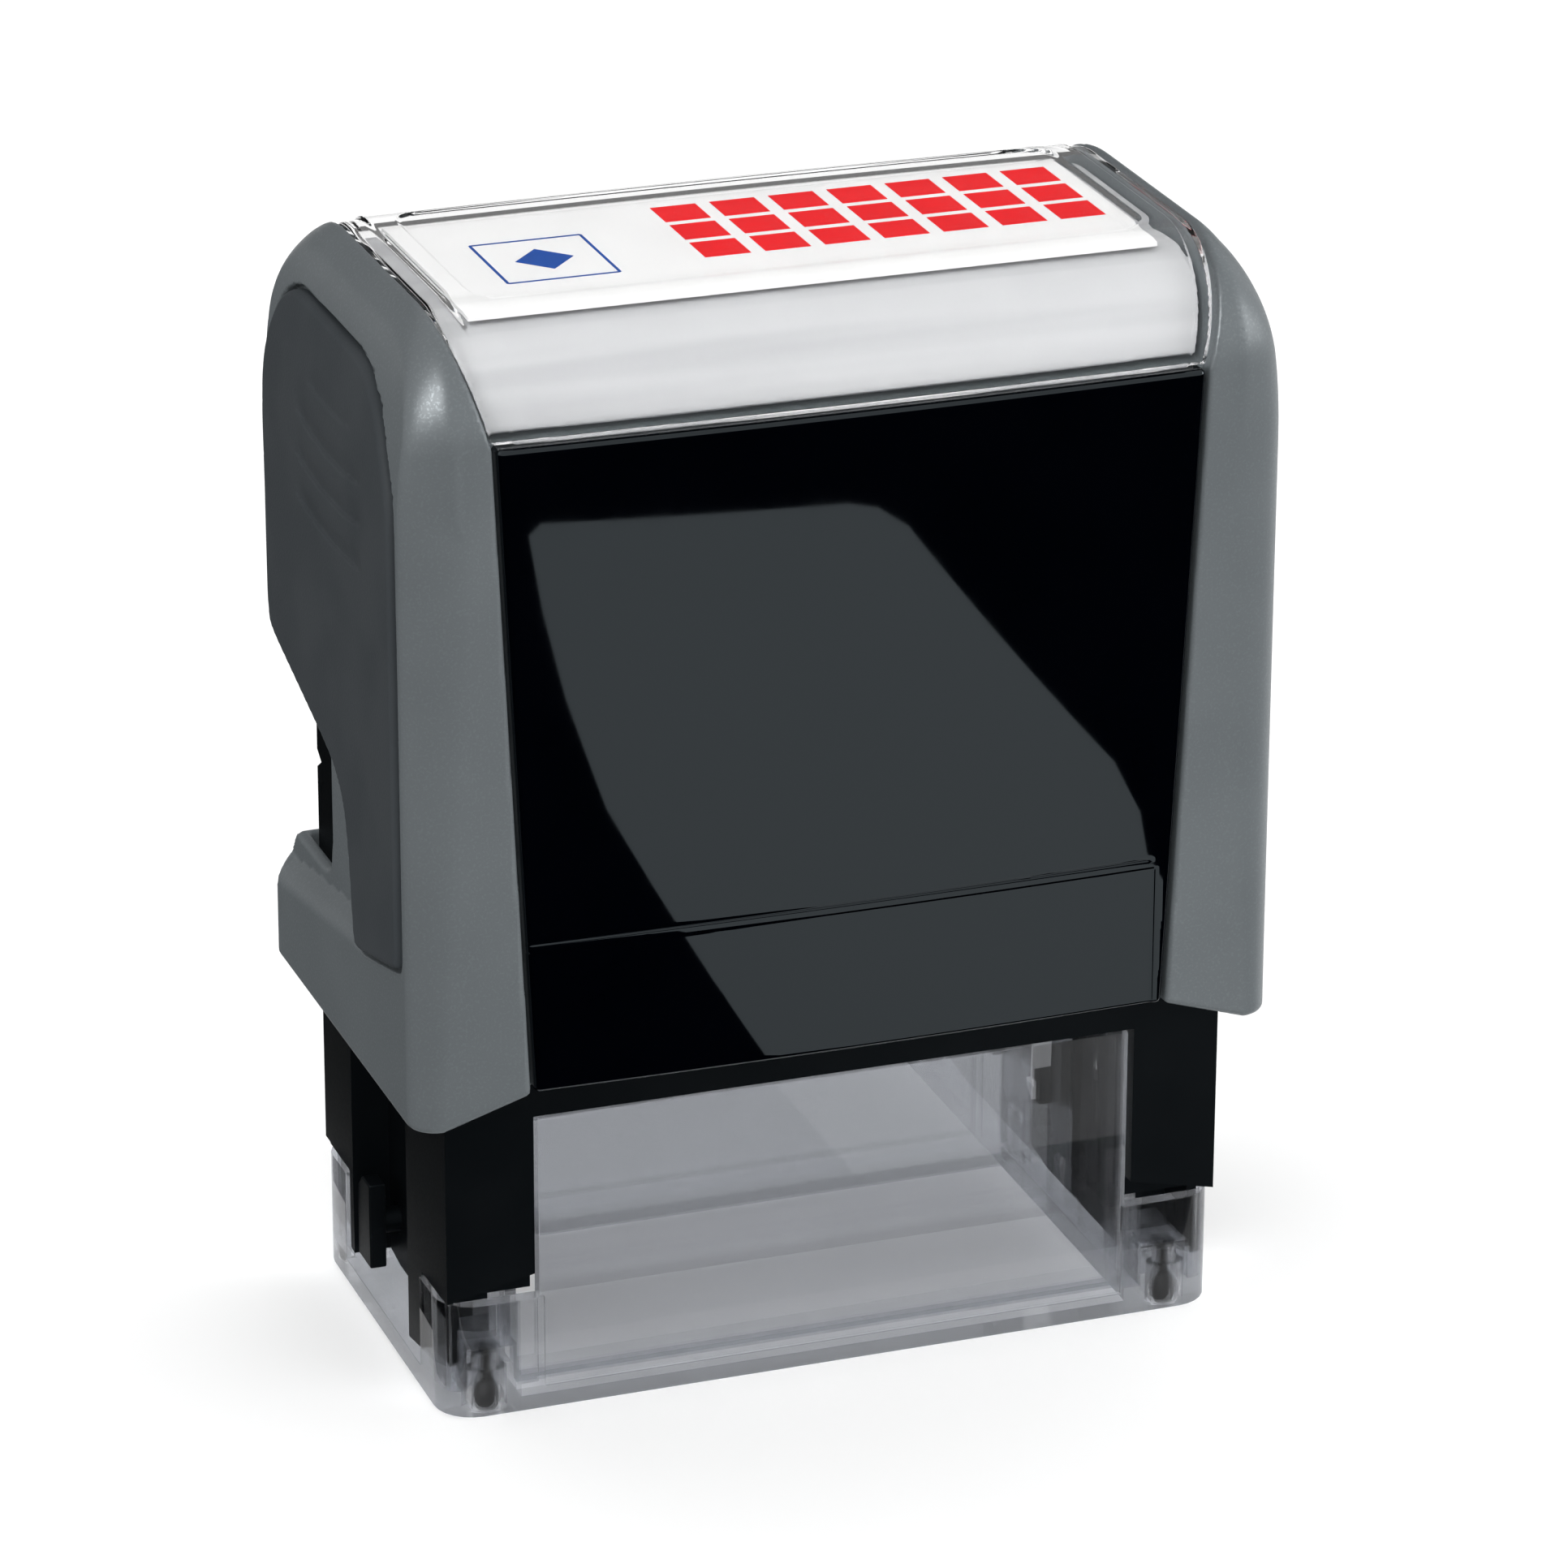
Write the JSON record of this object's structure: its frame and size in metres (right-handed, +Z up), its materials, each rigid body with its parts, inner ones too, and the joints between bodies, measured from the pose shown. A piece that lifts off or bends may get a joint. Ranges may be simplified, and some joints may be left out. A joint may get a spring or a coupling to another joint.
{
  "type": "self inking stamp",
  "caption": "Self-inking text stamp with a spring-loaded housing, a platen that flips from ink pad to paper, a slide-out ink cartridge and a clear base.",
  "frame": {"origin": "centre of the footprint on the paper, under the four feet", "axes": "+X along the impression to the reader's right, -Y towards the front panel, +Z up out of the paper"},
  "size_m": [0.068, 0.0386, 0.0853],
  "materials": {
    "satin_grey": "satin, slightly pearlescent grey moulding",
    "gloss_black": "polished black",
    "satin_black": "satin black moulding",
    "soft_grip": "soft-touch dark grey inlay",
    "clear_plastic": "clear polystyrene, slightly smoky at its edges",
    "card_white": "white",
    "foot_rubber": "black rubber",
    "die_rubber": "red laser-cut rubber",
    "pad_felt": "felt soaked with red ink",
    "spring_steel": "bright drawn wire"
  },
  "bodies": {
    "base": {"clear_base": "clear_plastic", "inner_frame": "satin_black", "foot_front_left": "foot_rubber", "foot_front_right": "foot_rubber", "foot_rear_left": "foot_rubber", "foot_rear_right": "foot_rubber", "spring_left": "spring_steel", "spring_right": "spring_steel"},
    "housing": {"housing": "satin_grey", "front_panel": "gloss_black", "rear_panel": "gloss_black", "top_bed": "card_white", "index_card": "card_white", "grip_left": "soft_grip", "grip_right": "soft_grip", "slider_left": "satin_black", "slider_right": "satin_black"},
    "platen": {"platen_holder": "satin_black", "text_plate": "card_white", "rubber_die": "die_rubber"},
    "cartridge": {"cartridge_tray": "satin_black", "cartridge_grip": "satin_black", "ink_pad": "pad_felt"},
    "cover": {"index_cover": "clear_plastic"},
    "lock_left": {"lock_button_left": "satin_black"},
    "lock_right": {"lock_button_right": "satin_black"}
  },
  "joints": [
    {"name": "press", "type": "slide", "parent": "base", "child": "housing", "axis": [0, 0, -1], "range_m": [0, 0.0238], "stiffness_N_per_m": 300, "springref_m": -0.012, "deforming": ["spring_left", "spring_right"]},
    {"name": "flip", "type": "hinge", "parent": "housing", "child": "platen", "pos_m": [0, 0, 0.03], "axis": [1, 0, 0], "range_deg": [0, 180]},
    {"name": "cartridge_slide", "type": "slide", "parent": "base", "child": "cartridge", "axis": [0, 1, 0], "range_m": [0, 0.03]},
    {"name": "cover_lift", "type": "slide", "parent": "housing", "child": "cover", "axis": [0, 0, 1], "range_m": [0, 0.012]},
    {"name": "lock_left_push", "type": "slide", "parent": "base", "child": "lock_left", "axis": [1, 0, 0], "range_m": [0, 0.0012], "stiffness_N_per_m": 500, "springref_m": -0.002},
    {"name": "lock_right_push", "type": "slide", "parent": "base", "child": "lock_right", "axis": [-1, 0, 0], "range_m": [0, 0.0012], "stiffness_N_per_m": 500, "springref_m": -0.002}
  ],
  "couplings": [
    {"joint": "flip", "follows": "press", "rad_per_m": 131.99}
  ]
}
